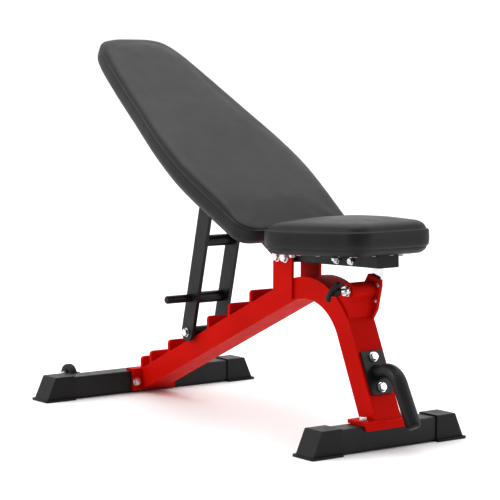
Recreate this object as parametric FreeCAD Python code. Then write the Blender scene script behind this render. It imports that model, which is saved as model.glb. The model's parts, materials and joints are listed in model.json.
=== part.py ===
"""Adjustable weight bench: welded frame, seven-step rail, hinged back and seat.

Units are millimetres, Z is up, the seat end is +X and the floor is Z = 0.
Each separate physical piece goes to its own STEP file in parts/.
"""
import math
import os

import FreeCAD
import Part

V = FreeCAD.Vector
os.makedirs("parts", exist_ok=True)

# ---------------------------------------------------------------- sizes
# Floor bars and their end caps.
FOOT_TUBE = 50.0
FOOT_WALL = 3.0
CAP_WALL = 3.0
CAP_FLARE = 23.0
CAP_GRIP = 51.0
CAP_LIP = 6.0
CAP_LIP_HEIGHT = 5.0
CAP_EDGE = 2.5
FRONT_CAP_TOP = 180.0
REAR_CAP_TOP = 273.0
REAR_BAR_X = -865.0
CAP_END_WALL = 4.0

# Main tube: straight rail, bend and front leg share one section.
TUBE_WIDTH = 70.0
TUBE_DEPTH = 47.0
TUBE_WALL = 3.0
TUBE_EDGE = 4.0
RAIL_END_TOP = 59.1
LEG_LEAN = 24.4
BEND_X = -207.0
BEND_Z = 175.0
BEND_RADIUS = 161.0

# Plates that bolt the main tube to the floor bars.
BASE_PLATE = 8.0
BASE_BACK = 30.0
BASE_LIP = 9.0
BASE_BOLT_OUT = 15.0
BASE_BOLT_EDGE = 16.0
BASE_BOLT_Y = TUBE_WIDTH / 2.0 + BASE_BOLT_OUT
BASE_HALF = BASE_BOLT_Y + BASE_BOLT_EDGE
BASE_BOLT_X = 2.0
MOUNT_PLATE = 6.0
MOUNT_BOTTOM = 5.0
MOUNT_LEAF = 22.0
MOUNT_LEAF_PLATE = 5.0
MOUNT_BOLT_OUT = 16.0
MOUNT_BOLT_EDGE = 10.0
MOUNT_BOLT_Y = TUBE_WIDTH / 2.0 + MOUNT_BOLT_OUT
MOUNT_HALF = MOUNT_BOLT_Y + MOUNT_BOLT_EDGE
MOUNT_BOLT_Z = 28.0

# Toothed plates across the rail, given by the X of each front face.
FIRST_TOOTH_GAP = 2.0
TOOTH_FRONTS = [-794.0, -718.0, -641.4, -561.4, -481.4, -401.4]
REST_TOOTH = 3
TOOTH_PLATE = 8.0
TOOTH_HEIGHT = 26.0
TOOTH_CORNER = 8.0

# Uprights and the two pivots.
UPRIGHT_BACK = -316.0
UPRIGHT_FRONT = -251.0
UPRIGHT_BOTTOM = 285.0
UPRIGHT_TOP = 386.0
UPRIGHT_PLATE = 6.0
UPRIGHT_CORNER = 12.0
PIVOT_Z = 373.0
BACK_PIVOT_X = -301.0
SEAT_PIVOT_X = -273.0
PIVOT_BOLT = 12.0
PIVOT_SLEEVE = 25.0
RUN_CLEARANCE = 0.05
SIDE_CLEARANCE = 0.3

# Back rest, measured along the board (s) and up from its front face (n).
BACK_ANGLE = 31.48
BACK_FACE_X = -248.1
BACK_FACE_Z = 420.0
BACK_PAD = 38.0
BACK_BOARD = 12.0
BACK_START = 34.0
BACK_BOTTOM_HALF = 112.0
BACK_SIDE = [(42.0, 130.0), (60.0, 142.0), (95.0, 148.0), (165.0, 158.0), (237.0, 166.5),
             (290.0, 168.0), (382.0, 161.0), (447.0, 152.0), (509.0, 142.5), (567.0, 134.5),
             (636.0, 124.0), (702.0, 111.0), (733.0, 102.0), (762.0, 88.0), (784.0, 68.0),
             (796.0, 40.0)]
BACK_END = 800.0
BACK_EDGE = 7.0
BOARD_INSET = 5.0
BACK_TUBE_WIDTH = 56.0
BACK_TUBE_DEPTH = 36.0
BACK_TUBE_WALL = 2.5
BACK_TUBE_START = 28.0
BACK_TUBE_END = 690.0
CROSS_PLATE = 4.0
CROSS_PLATE_LENGTH = 40.0
CROSS_PLATE_HALF = 95.0
CROSS_PLATE_AT = [110.0, 390.0, 650.0]
PAD_SCREW = 8.0
PAD_SCREW_Y = 80.0
PAD_SCREW_GRIP = 10.0

# Ladder that props the back rest.
FOOT_BAR = 25.0
FOOT_BAR_GAP = 0.3
LADDER_LEAN = 13.4
LADDER_LENGTH = 353.0
LADDER_SIDE_GAP = 5.0
LADDER_INNER = TUBE_WIDTH / 2.0 + LADDER_SIDE_GAP
LADDER_PLATE = 9.0
LADDER_WIDTH = 41.0
LADDER_TUBE = 26.0
LADDER_TUBE_BACK = 7.5
MID_BAR_AT = 81.0
TOP_BAR_AT = 218.0
HANDLE_ROD = 18.0
HANDLE_ROD_END = 115.0
LADDER_PIVOT_GAP = 0.5

# Seat, measured from the seat pivot along its own tilted axes.
SEAT_RISE = 1.97
SEAT_TUBE_WIDTH = 56.0
SEAT_TUBE_HEIGHT = 27.0
SEAT_TUBE_WALL = 2.5
SEAT_TUBE_BOTTOM = -10.0
SEAT_TUBE_START = 9.0
SEAT_TUBE_END = 286.0
SEAT_PLUG = 2.5
SEAT_BOARD = 12.0
SEAT_PAD = 50.0
SEAT_BACK = 42.0
SEAT_FRONT = 301.0
SEAT_BACK_HALF = 92.0
SEAT_SIDE = [(47.0, 118.0), (62.0, 143.0), (95.0, 158.0), (140.0, 160.5), (180.0, 154.0),
             (215.0, 143.5), (245.0, 130.0), (270.0, 112.0), (287.0, 91.0)]
SEAT_FRONT_HALF = 66.0
SEAT_EDGE = 12.0
WING_LENGTH = 34.0
WING_HALF = 105.0
WING_AT = [85.0, 225.0]
WING_SCREW_Y = 88.0

# Curved seat bar, its guide and the spring pin.
PIN_X = -70.0
PIN_Z = 319.6
PIN = 12.0
PIN_TRAVEL = 12.0
ARC_SIDE_GAP = 1.0
ARC_INNER_FACE = TUBE_WIDTH / 2.0 + ARC_SIDE_GAP
ARC_PLATE = 7.0
ARC_WIDTH = 30.0
ARC_TAIL = 34.5
ARC_STEP = 7.0
ARC_STEPS = 3
ARC_HOLE_CLEARANCE = 0.3
ARC_ARM_START = 142.0
ARC_ARM_BOTTOM = -8.0
ARC_ARM_TOP = 11.0
ARC_BOLT_AT = [159.0, 204.5]
ARC_BOLT = 8.0
GUIDE_PLATE = 7.0
HOUSING = 34.0
HOUSING_BORE = 22.0
HOUSING_NEAR = -34.0
BARREL = 20.0
BARREL_LENGTH = 12.0
PIN_TIP_GAP = 1.0
PIN_COLLAR = 20.5
PIN_COLLAR_AT = 2.0
PIN_COLLAR_WIDTH = 4.0
PIN_OUTER_END = -68.0
HUB = 18.0
HUB_LENGTH = 18.0
LEVER_BAR = 11.0
LEVER_HALF = 24.0
LEVER_BOW = 7.0
LEVER_LEAN = 43.0
SPRING_WIRE = 1.6
SPRING_COIL = 16.5
SPRING_TURNS = 7.0

# Front handle.
HANDLE_TUBE = 32.0
HANDLE_WALL = 2.5
HANDLE_STUB = 28.0
HANDLE_RISE = 12.0
HANDLE_BEND = 40.0
HANDLE_DROP = 28.0
HANDLE_STRAIGHT = 88.0
HANDLE_CAP = 9.0
HANDLE_PLATE = 5.0
HANDLE_PLATE_HALF = 29.0
HANDLE_PLATE_LENGTH = 93.0
HANDLE_CENTRE_Z = 152.0
HANDLE_BOLT_SPACING = 66.0

# Wheels behind the rear floor bar.
WHEEL = 50.0
WHEEL_WIDTH = 18.0
WHEEL_Y = 187.0
WHEEL_Z = 46.0
WHEEL_GAP = 4.0
WHEEL_AXLE = 8.0
WHEEL_BRACKET = 4.0
WHEEL_SIDE_GAP = 1.0

# Fasteners.
M12_HEAD = (18.0, 7.5, 12.0, 2.0)
M10_HEAD = (16.0, 6.4, 10.5, 2.0)
M8_HEAD = (13.0, 5.3, 8.5, 1.5)
M10 = 10.0
HOLE_CLEARANCE = 0.4


# ---------------------------------------------------------------- helpers
def box(x0, x1, y0, y1, z0, z1):
    return Part.makeBox(x1 - x0, y1 - y0, z1 - z0, V(x0, y0, z0))


def rod(start, direction, radius, length):
    return Part.makeCylinder(radius, length, start, direction)


def cross_rod(x, z, radius, y0, y1):
    return Part.makeCylinder(radius, y1 - y0, V(x, y0, z), V(0, 1, 0))


def plate_xz(points, y0, y1):
    wire = Part.makePolygon([V(x, y0, z) for x, z in points + points[:1]])
    return Part.Face(wire).extrude(V(0, y1 - y0, 0))


def rounded(solid, radius, test):
    edges = [edge for edge in solid.Edges if test(edge)]
    return solid.makeFillet(radius, edges)


def parallel(edge, direction):
    if edge.Curve.TypeId != "Part::GeomLine":
        return False
    run = edge.Vertexes[1].Point - edge.Vertexes[0].Point
    return run.cross(direction).Length < 0.001 * run.Length


def hexagon(base, direction, across, height):
    radius = across / math.sqrt(3.0)
    corners = [V(radius * math.cos(math.radians(60 * i)), radius * math.sin(math.radians(60 * i)), 0)
               for i in range(7)]
    prism = Part.Face(Part.makePolygon(corners)).extrude(V(0, 0, height))
    crown = Part.makeCone(across / 2.0 + height, across / 2.0 * 0.97, height, V(0, 0, 0), V(0, 0, 1))
    prism = prism.common(crown)
    prism.Placement = FreeCAD.Placement(base, FreeCAD.Rotation(V(0, 0, 1), direction))
    return prism


def bolt(bearing, into, size, head, length, nut_at=None):
    """Washer and hex head on the bearing face, shank going in, and a nut if asked."""
    across, height, washer_radius, washer = head
    out = into * -1.0
    solid = rod(bearing, out, washer_radius, washer)
    solid = solid.fuse(hexagon(bearing + out * washer, out, across, height))
    solid = solid.fuse(rod(bearing + out * washer, into, size / 2.0, length + washer))
    if nut_at is not None:
        seat = bearing + into * nut_at
        solid = solid.fuse(rod(seat, into, washer_radius, washer))
        solid = solid.fuse(hexagon(seat + into * washer, into, across, height))
    return solid.removeSplitter()


def tilt(shape, origin_x, origin_z, degrees):
    """Turn a shape built about the origin round +Y, then move it to its place."""
    moved = shape.copy()
    moved.rotate(V(0, 0, 0), V(0, 1, 0), degrees)
    moved.translate(V(origin_x, 0, origin_z))
    return moved


def coil(radius, wire, length, turns):
    """Spring up the Z axis: half turns that lie in leaning planes and join smoothly."""
    rise = length / (2.0 * turns)
    faces = []
    for k in range(2 * turns):
        side = 1.0 if k % 2 == 0 else -1.0
        start = V(side * radius, 0, k * rise)
        middle = V(0, 0, (k + 0.5) * rise)
        run = V(0, side, 0)
        ring = Part.makeCircle(wire, start, run)
        faces += ring.revolve(middle, (start - middle).cross(run), 180.0).Faces
    for z in (0.0, length):
        faces.append(Part.Face(Part.Wire([Part.makeCircle(wire, V(radius, 0, z), V(0, 1, 0))])))
    shell = Part.makeShell(faces)
    shell.sewShape()
    return Part.makeSolid(shell)


def group(solids):
    return Part.makeCompound(solids)


parts = {}

# ---------------------------------------------------------------- floor bars
bar_bottom = CAP_WALL
bar_top = bar_bottom + FOOT_TUBE
bar_half = FOOT_TUBE / 2.0
cap_height = bar_top + CAP_WALL
cap_top_half = bar_half + CAP_WALL


def floor_bar(centre_x, cap_top):
    half = cap_top + 2.0
    outer = box(centre_x - bar_half, centre_x + bar_half, -half, half, bar_bottom, bar_top)
    outer = rounded(outer, TUBE_EDGE, lambda e: parallel(e, V(0, 1, 0)))
    inner = box(centre_x - bar_half + FOOT_WALL, centre_x + bar_half - FOOT_WALL, -half, half,
                bar_bottom + FOOT_WALL, bar_top - FOOT_WALL)
    return outer.cut(inner)


def foot_cap(centre_x, cap_top, side):
    """Moulded cap that sleeves the bar end, with a flared end and a floor lip."""
    inner_end = cap_top - CAP_GRIP
    profile = [V(0, inner_end, 0), V(0, inner_end, cap_height), V(0, cap_top, cap_height),
               V(0, cap_top + CAP_FLARE, CAP_LIP_HEIGHT), V(0, cap_top + CAP_FLARE, 0)]
    face = Part.Face(Part.makePolygon(profile + profile[:1]))
    face.translate(V(centre_x - cap_top_half, 0, 0))
    body = face.extrude(V(2.0 * cap_top_half, 0, 0))
    body = rounded(body, CAP_EDGE, lambda e: e.BoundBox.ZMin > cap_height - 1.0
                   and e.BoundBox.YMax > inner_end + 1.0)
    lip = box(centre_x - cap_top_half - CAP_LIP, centre_x + cap_top_half + CAP_LIP, inner_end,
              cap_top + CAP_FLARE + CAP_LIP, 0, CAP_LIP_HEIGHT)
    lip = rounded(lip, CAP_LIP - 1.0, lambda e: parallel(e, V(0, 0, 1)) and e.BoundBox.YMin > cap_top)
    body = body.fuse(lip).removeSplitter()
    bar_end = cap_top + 2.0
    socket = box(centre_x - bar_half, centre_x + bar_half, inner_end - 1.0, bar_end,
                 bar_bottom, bar_top)
    socket = rounded(socket, TUBE_EDGE, lambda e: parallel(e, V(0, 1, 0)))
    body = body.cut(socket)
    if side < 0:
        body = body.mirror(V(0, 0, 0), V(0, 1, 0))
    return body


front_bar = floor_bar(0.0, FRONT_CAP_TOP)
rear_bar = floor_bar(REAR_BAR_X, REAR_CAP_TOP)
parts["foot_cap_front_left"] = foot_cap(0.0, FRONT_CAP_TOP, 1)
parts["foot_cap_front_right"] = foot_cap(0.0, FRONT_CAP_TOP, -1)
parts["foot_cap_rear_left"] = foot_cap(REAR_BAR_X, REAR_CAP_TOP, 1)
parts["foot_cap_rear_right"] = foot_cap(REAR_BAR_X, REAR_CAP_TOP, -1)

# ---------------------------------------------------------------- main tube
mount_front = REAR_BAR_X + bar_half + MOUNT_PLATE
end_x = BEND_X - mount_front
end_z = BEND_Z - RAIL_END_TOP
rail_rad = math.atan2(end_z, end_x) + math.asin(BEND_RADIUS / math.hypot(end_x, end_z))
rail_slope = math.degrees(rail_rad)
tooth_fronts = [mount_front + FIRST_TOOTH_GAP] + TOOTH_FRONTS
leg_rad = math.radians(LEG_LEAN)
rail_up = V(-math.sin(rail_rad), 0, math.cos(rail_rad))
rail_down_run = V(-math.cos(rail_rad), 0, -math.sin(rail_rad))
leg_out = V(math.cos(leg_rad), 0, math.sin(leg_rad))
leg_down_run = V(math.sin(leg_rad), 0, -math.cos(leg_rad))
bend_centre = V(BEND_X, 0, BEND_Z)
tube_half = TUBE_WIDTH / 2.0
leg_bottom = bar_top + BASE_PLATE


def leg_point(radius, z):
    tangent = bend_centre + leg_out * radius
    return tangent + leg_down_run * ((tangent.z - z) / math.cos(leg_rad))


def rail_point(radius, x):
    tangent = bend_centre + rail_up * radius
    return tangent + rail_down_run * ((tangent.x - x) / math.cos(rail_rad))


def rail_top_z(x):
    return rail_point(BEND_RADIUS, x).z


def bent_prism(r_out, r_in, half, z_end, overshoot):
    """Leg and bend between two radii, from the leg's foot to the rail joint."""
    mid = math.radians((LEG_LEAN + 90.0 + rail_slope) / 2.0)
    mid_dir = V(math.cos(mid), 0, math.sin(mid))
    past = rail_down_run * overshoot
    a = leg_point(r_out, z_end)
    b = bend_centre + leg_out * r_out
    c = bend_centre + rail_up * r_out
    d = bend_centre + rail_up * r_in
    e = bend_centre + leg_out * r_in
    f = leg_point(r_in, z_end)
    edges = [Part.makeLine(a, b), Part.Arc(b, bend_centre + mid_dir * r_out, c).toShape()]
    if overshoot > 0:
        edges += [Part.makeLine(c, c + past), Part.makeLine(c + past, d + past),
                  Part.makeLine(d + past, d)]
    else:
        edges += [Part.makeLine(c, d)]
    edges += [Part.Arc(d, bend_centre + mid_dir * r_in, e).toShape(), Part.makeLine(e, f),
              Part.makeLine(f, a)]
    face = Part.Face(Part.Wire(edges))
    face.translate(V(0, -half, 0))
    return face.extrude(V(0, 2.0 * half, 0))


def rail_prism(r_out, r_in, half, x_end, overshoot):
    near = bend_centre - rail_down_run * overshoot
    corners = [near + rail_up * r_out, near + rail_up * r_in, rail_point(r_in, x_end),
               rail_point(r_out, x_end)]
    return plate_xz([(p.x, p.z) for p in corners], -half, half)


inner_radius = BEND_RADIUS - TUBE_DEPTH
arch_outer = bent_prism(BEND_RADIUS, inner_radius, tube_half, leg_bottom, 0.0)
arch_body = arch_outer.cut(bent_prism(BEND_RADIUS - TUBE_WALL, inner_radius + TUBE_WALL,
                                      tube_half - TUBE_WALL, leg_bottom - 2.0, 2.0))
rail_outer = rail_prism(BEND_RADIUS, inner_radius, tube_half, mount_front, 0.0)
rail_body = rail_outer.cut(rail_prism(BEND_RADIUS - TUBE_WALL, inner_radius + TUBE_WALL,
                                      tube_half - TUBE_WALL, mount_front - 2.0, 2.0))

# ---------------------------------------------------------------- foot plates
lip_front = bar_half + BASE_PLATE
base_plate = plate_xz([(-BASE_BACK, bar_top), (bar_half, bar_top), (bar_half, bar_top - BASE_LIP),
                       (lip_front, bar_top - BASE_LIP), (lip_front, leg_bottom),
                       (-BASE_BACK, leg_bottom)], -BASE_HALF, BASE_HALF)
base_plate = rounded(base_plate, 4.0, lambda e: parallel(e, V(0, 1, 0))
                     and e.BoundBox.ZMin > leg_bottom - 0.1 and e.BoundBox.XMin > 0)
mount_back = REAR_BAR_X + bar_half
mount_leaf_top = bar_top + MOUNT_LEAF_PLATE
mount_plate = box(mount_back, mount_front, -MOUNT_HALF, MOUNT_HALF, MOUNT_BOTTOM, mount_leaf_top)
mount_plate = mount_plate.fuse(box(mount_back - MOUNT_LEAF, mount_back, -MOUNT_HALF, MOUNT_HALF,
                                   bar_top, mount_leaf_top)).removeSplitter()

base_bolts = []
mount_bolts = []
for side in (-1.0, 1.0):
    p = V(BASE_BOLT_X, side * BASE_BOLT_Y, leg_bottom)
    hole = rod(V(p.x, p.y, -1.0), V(0, 0, 1), M10 / 2.0 + HOLE_CLEARANCE / 2.0, leg_bottom + 2.0)
    hole = hole.common(box(-100, 100, -100, 100, bar_top - 10.0, leg_bottom + 1.0))
    base_plate = base_plate.cut(hole)
    front_bar = front_bar.cut(hole)
    base_bolts.append(bolt(p, V(0, 0, -1), M10, M10_HEAD, 24.0, BASE_PLATE + FOOT_WALL))
    q = V(mount_front, side * MOUNT_BOLT_Y, MOUNT_BOLT_Z)
    hole = rod(q + V(1, 0, 0), V(-1, 0, 0), M10 / 2.0 + HOLE_CLEARANCE / 2.0, FOOT_TUBE + 20.0)
    mount_plate = mount_plate.cut(hole)
    rear_bar = rear_bar.cut(hole)
    mount_bolts.append(bolt(q, V(-1, 0, 0), M10, M10_HEAD, FOOT_TUBE + MOUNT_PLATE + 12.0,
                            FOOT_TUBE + MOUNT_PLATE))
parts["front_crossbar"] = front_bar
parts["rear_crossbar"] = rear_bar
parts["front_base_plate"] = base_plate
parts["rear_mount_plate"] = mount_plate
parts["front_foot_bolts"] = group(base_bolts)
parts["rear_foot_bolts"] = group(mount_bolts)

# ---------------------------------------------------------------- teeth
below_rail = rail_prism(BEND_RADIUS, BEND_RADIUS - 400.0, tube_half + 20.0, -1000.0, 200.0)
teeth = []
for front in tooth_fronts:
    base = rail_top_z(front)
    tooth = box(front - TOOTH_PLATE, front, -tube_half, tube_half, base - 30.0, base + TOOTH_HEIGHT)
    tooth = rounded(tooth, TOOTH_CORNER, lambda e: parallel(e, V(1, 0, 0))
                    and e.BoundBox.ZMin > base)
    tooth = tooth.cut(below_rail)
    tooth = tooth.cut(box(mount_back - 50.0, mount_front, -100, 100, 0, mount_leaf_top))
    teeth.append(max(tooth.Solids, key=lambda s: s.Volume))
parts["ladder_teeth"] = group(teeth)

# ---------------------------------------------------------------- uprights
upright_outer = tube_half + UPRIGHT_PLATE
pivot_bore = PIVOT_BOLT / 2.0 + RUN_CLEARANCE


def upright(side):
    y0, y1 = (tube_half, upright_outer) if side > 0 else (-upright_outer, -tube_half)
    plate = box(UPRIGHT_BACK, UPRIGHT_FRONT, y0, y1, UPRIGHT_BOTTOM, UPRIGHT_TOP)
    plate = rounded(plate, UPRIGHT_CORNER, lambda e: parallel(e, V(0, 1, 0))
                    and e.BoundBox.ZMin > UPRIGHT_BOTTOM + 1.0)
    for x in (BACK_PIVOT_X, SEAT_PIVOT_X):
        plate = plate.cut(cross_rod(x, PIVOT_Z, pivot_bore, y0 - 1.0, y1 + 1.0))
    return plate


parts["upright_left"] = upright(1)
parts["upright_right"] = upright(-1)
for name, x in (("back_pivot_bolt", BACK_PIVOT_X), ("seat_pivot_bolt", SEAT_PIVOT_X)):
    reach = 2.0 * upright_outer
    parts[name] = bolt(V(x, -upright_outer, PIVOT_Z), V(0, 1, 0), PIVOT_BOLT, M12_HEAD,
                       reach + 14.0, reach)

# ---------------------------------------------------------------- front handle
face_point = leg_point(BEND_RADIUS, HANDLE_CENTRE_Z)
leg_up_run = leg_down_run * -1.0
plate_face = face_point + leg_out * HANDLE_PLATE
handle_plate = box(0, HANDLE_PLATE, -HANDLE_PLATE_HALF, HANDLE_PLATE_HALF,
                   -HANDLE_PLATE_LENGTH / 2.0, HANDLE_PLATE_LENGTH / 2.0)
handle_plate = rounded(handle_plate, 5.0, lambda e: parallel(e, V(1, 0, 0)))
handle_plate = tilt(handle_plate, face_point.x, face_point.z, -LEG_LEAN)
handle_bolts = []
for side in (-1.0, 1.0):
    p = plate_face + leg_up_run * (side * HANDLE_BOLT_SPACING / 2.0)
    hole = rod(p + leg_out, leg_out * -1.0, M10 / 2.0 + HOLE_CLEARANCE / 2.0, 14.0)
    handle_plate = handle_plate.cut(hole)
    arch_body = arch_body.cut(hole)
    handle_bolts.append(bolt(p, leg_out * -1.0, M10, M10_HEAD, 24.0, HANDLE_PLATE + TUBE_WALL))
rise = math.radians(HANDLE_RISE)
drop = math.radians(HANDLE_DROP)
stub_dir = V(math.cos(rise), 0, math.sin(rise))
drop_dir = V(math.sin(drop), 0, -math.cos(drop))
h0 = plate_face - leg_out * 0.5
h1 = h0 + stub_dir * HANDLE_STUB
bow_centre = h1 + V(math.sin(rise), 0, -math.cos(rise)) * HANDLE_BEND
h2 = bow_centre + V(math.cos(drop), 0, math.sin(drop)) * HANDLE_BEND
bow_mid = h1 + h2 - bow_centre * 2.0
bow_mid = bow_centre + bow_mid.normalize() * HANDLE_BEND
h3 = h2 + drop_dir * HANDLE_STRAIGHT
back_off = stub_dir * 25.0
path = Part.Wire([Part.makeLine(h0 - back_off, h1), Part.Arc(h1, bow_mid, h2).toShape(),
                  Part.makeLine(h2, h3)])


def pipe(radius):
    ring = Part.Wire([Part.makeCircle(radius, h0 - back_off, stub_dir)])
    return path.makePipeShell([ring], True, True)


handle = pipe(HANDLE_TUBE / 2.0).cut(pipe(HANDLE_TUBE / 2.0 - HANDLE_WALL))
behind = box(-200.0, HANDLE_PLATE, -60, 60, -200, 200)
behind = tilt(behind, face_point.x, face_point.z, -LEG_LEAN)
handle = handle.cut(behind)
handle_cap = rod(h3, drop_dir, HANDLE_TUBE / 2.0, HANDLE_CAP)
handle_cap = rounded(handle_cap, HANDLE_CAP - 1.5, lambda e: e.Curve.TypeId == "Part::GeomCircle"
                     and (e.Curve.Center - h3).Length > 1.0)
handle_cap = handle_cap.fuse(rod(h3, drop_dir * -1.0, HANDLE_TUBE / 2.0 - HANDLE_WALL, 12.0))
parts["handle_plate"] = handle_plate
parts["front_handle"] = max(handle.Solids, key=lambda s: s.Volume)
parts["handle_end_cap"] = handle_cap.removeSplitter()
parts["handle_bolts"] = group(handle_bolts)

# ---------------------------------------------------------------- pin housing
pin_radius = PIN / 2.0
arc_radius = math.hypot(PIN_X - SEAT_PIVOT_X, PIN_Z - PIVOT_Z)
arc_phase = math.degrees(math.atan2(PIVOT_Z - PIN_Z, PIN_X - SEAT_PIVOT_X))
guide_outer = ARC_INNER_FACE - 1.0
guide_inner = guide_outer - GUIDE_PLATE
housing_outer = HOUSING / 2.0
housing = cross_rod(PIN_X, PIN_Z, housing_outer, HOUSING_NEAR, guide_inner)
housing = housing.cut(cross_rod(PIN_X, PIN_Z, HOUSING_BORE / 2.0, HOUSING_NEAR - 1.0,
                                guide_inner + 1.0))
block = plate_xz([(PIN_X - 18.0, PIN_Z - 2.0), (PIN_X + 8.0, PIN_Z - 14.0),
                  (PIN_X + 8.0, PIN_Z - 26.0), (PIN_X - 2.0, PIN_Z - 58.0),
                  (PIN_X - 50.0, PIN_Z - 10.0)], HOUSING_NEAR + 3.0, guide_inner)
block = block.cut(arch_outer)
block = block.cut(cross_rod(PIN_X, PIN_Z, housing_outer, HOUSING_NEAR - 1.0, guide_inner + 1.0))
guide = plate_xz([(PIN_X - 11.0, PIN_Z + 31.0), (PIN_X + 27.5, PIN_Z + 21.0),
                  (PIN_X + 27.7, PIN_Z + 8.0), (PIN_X + 16.0, PIN_Z - 42.0),
                  (PIN_X - 2.0, PIN_Z - 69.0), (PIN_X - 40.0, PIN_Z - 15.0)],
                 guide_inner, guide_outer)
guide = guide.cut(arch_outer)
guide = guide.cut(cross_rod(PIN_X, PIN_Z, pin_radius + RUN_CLEARANCE, guide_inner - 1.0,
                            guide_outer + 1.0))
guide_bolts = []
for dx, dz in ((21.0, 10.0), (14.0, -23.0)):
    p = V(PIN_X + dx, guide_inner, PIN_Z + dz)
    guide = guide.cut(rod(p - V(0, 1, 0), V(0, 1, 0), 3.0, GUIDE_PLATE + 2.0))
    guide_bolts.append(bolt(p, V(0, 1, 0), 6.0, (9.0, 3.5, 5.0, 0.8), GUIDE_PLATE - 0.5))
barrel = cross_rod(PIN_X, PIN_Z, BARREL / 2.0, HOUSING_NEAR - BARREL_LENGTH, HOUSING_NEAR)
barrel = barrel.fuse(hexagon(V(PIN_X, HOUSING_NEAR, PIN_Z), V(0, -1, 0), BARREL + 2.0, 6.0))
barrel = barrel.cut(cross_rod(PIN_X, PIN_Z, pin_radius + RUN_CLEARANCE,
                              HOUSING_NEAR - BARREL_LENGTH - 1.0, HOUSING_NEAR + 1.0))
parts["pin_housing"] = housing
parts["pin_housing_block"] = max(block.Solids, key=lambda s: s.Volume)
parts["seat_guide_plate"] = max(guide.Solids, key=lambda s: s.Volume)
parts["guide_plate_screws"] = group(guide_bolts)
parts["pin_barrel"] = barrel.removeSplitter()
parts["front_leg_arch"] = arch_body
parts["main_rail"] = rail_body

# ---------------------------------------------------------------- spring pin
tip_y = ARC_INNER_FACE - PIN_TIP_GAP
pin = cross_rod(PIN_X, PIN_Z, pin_radius, PIN_OUTER_END, tip_y)
pin = rounded(pin, 1.5, lambda e: e.Curve.TypeId == "Part::GeomCircle"
              and e.BoundBox.YMin > tip_y - 0.1)
pin = pin.fuse(cross_rod(PIN_X, PIN_Z, PIN_COLLAR / 2.0, PIN_COLLAR_AT,
                         PIN_COLLAR_AT + PIN_COLLAR_WIDTH))
hub_far = HOUSING_NEAR - BARREL_LENGTH - PIN_TRAVEL - 1.0
hub = cross_rod(PIN_X, PIN_Z, HUB / 2.0, hub_far - HUB_LENGTH, hub_far)
hub = rounded(hub, 2.0, lambda e: e.Curve.TypeId == "Part::GeomCircle")
hub = hub.cut(cross_rod(PIN_X, PIN_Z, pin_radius, PIN_OUTER_END, hub_far + 1.0))
lever_dir = V(math.sin(math.radians(LEVER_LEAN)), 0, math.cos(math.radians(LEVER_LEAN)))
lever_mid = V(PIN_X, hub_far - HUB_LENGTH - LEVER_BAR / 2.0 + 1.0, PIN_Z)
bow = V(0, LEVER_BOW, 0)
lever_start = lever_mid - lever_dir * LEVER_HALF + bow
lever_arc = Part.Arc(lever_start, lever_mid, lever_mid + lever_dir * LEVER_HALF + bow)
lever_run = lever_arc.tangent(lever_arc.FirstParameter)[0]
lever_ring = Part.Wire([Part.makeCircle(LEVER_BAR / 2.0, lever_start, lever_run)])
lever = Part.Wire([lever_arc.toShape()]).makePipeShell([lever_ring], True, True)
for end in (lever_start, lever_mid + lever_dir * LEVER_HALF + bow):
    lever = lever.fuse(Part.makeSphere(LEVER_BAR / 2.0, end))
lever = lever.cut(cross_rod(PIN_X, PIN_Z, HUB / 2.0 + 1.0, hub_far - HUB_LENGTH, hub_far))
coil_length = PIN_COLLAR_AT - HOUSING_NEAR - SPRING_WIRE - 1.0
spring = coil(SPRING_COIL / 2.0, SPRING_WIRE / 2.0, coil_length, int(SPRING_TURNS))
spring.rotate(V(0, 0, 0), V(1, 0, 0), -90)
spring.translate(V(PIN_X, HOUSING_NEAR + SPRING_WIRE / 2.0 + 0.5, PIN_Z))
parts["pull_pin"] = pin.removeSplitter()
parts["pin_hub"] = hub
parts["pin_lever"] = max(lever.Solids, key=lambda s: s.Volume)
parts["pin_spring"] = spring


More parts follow.
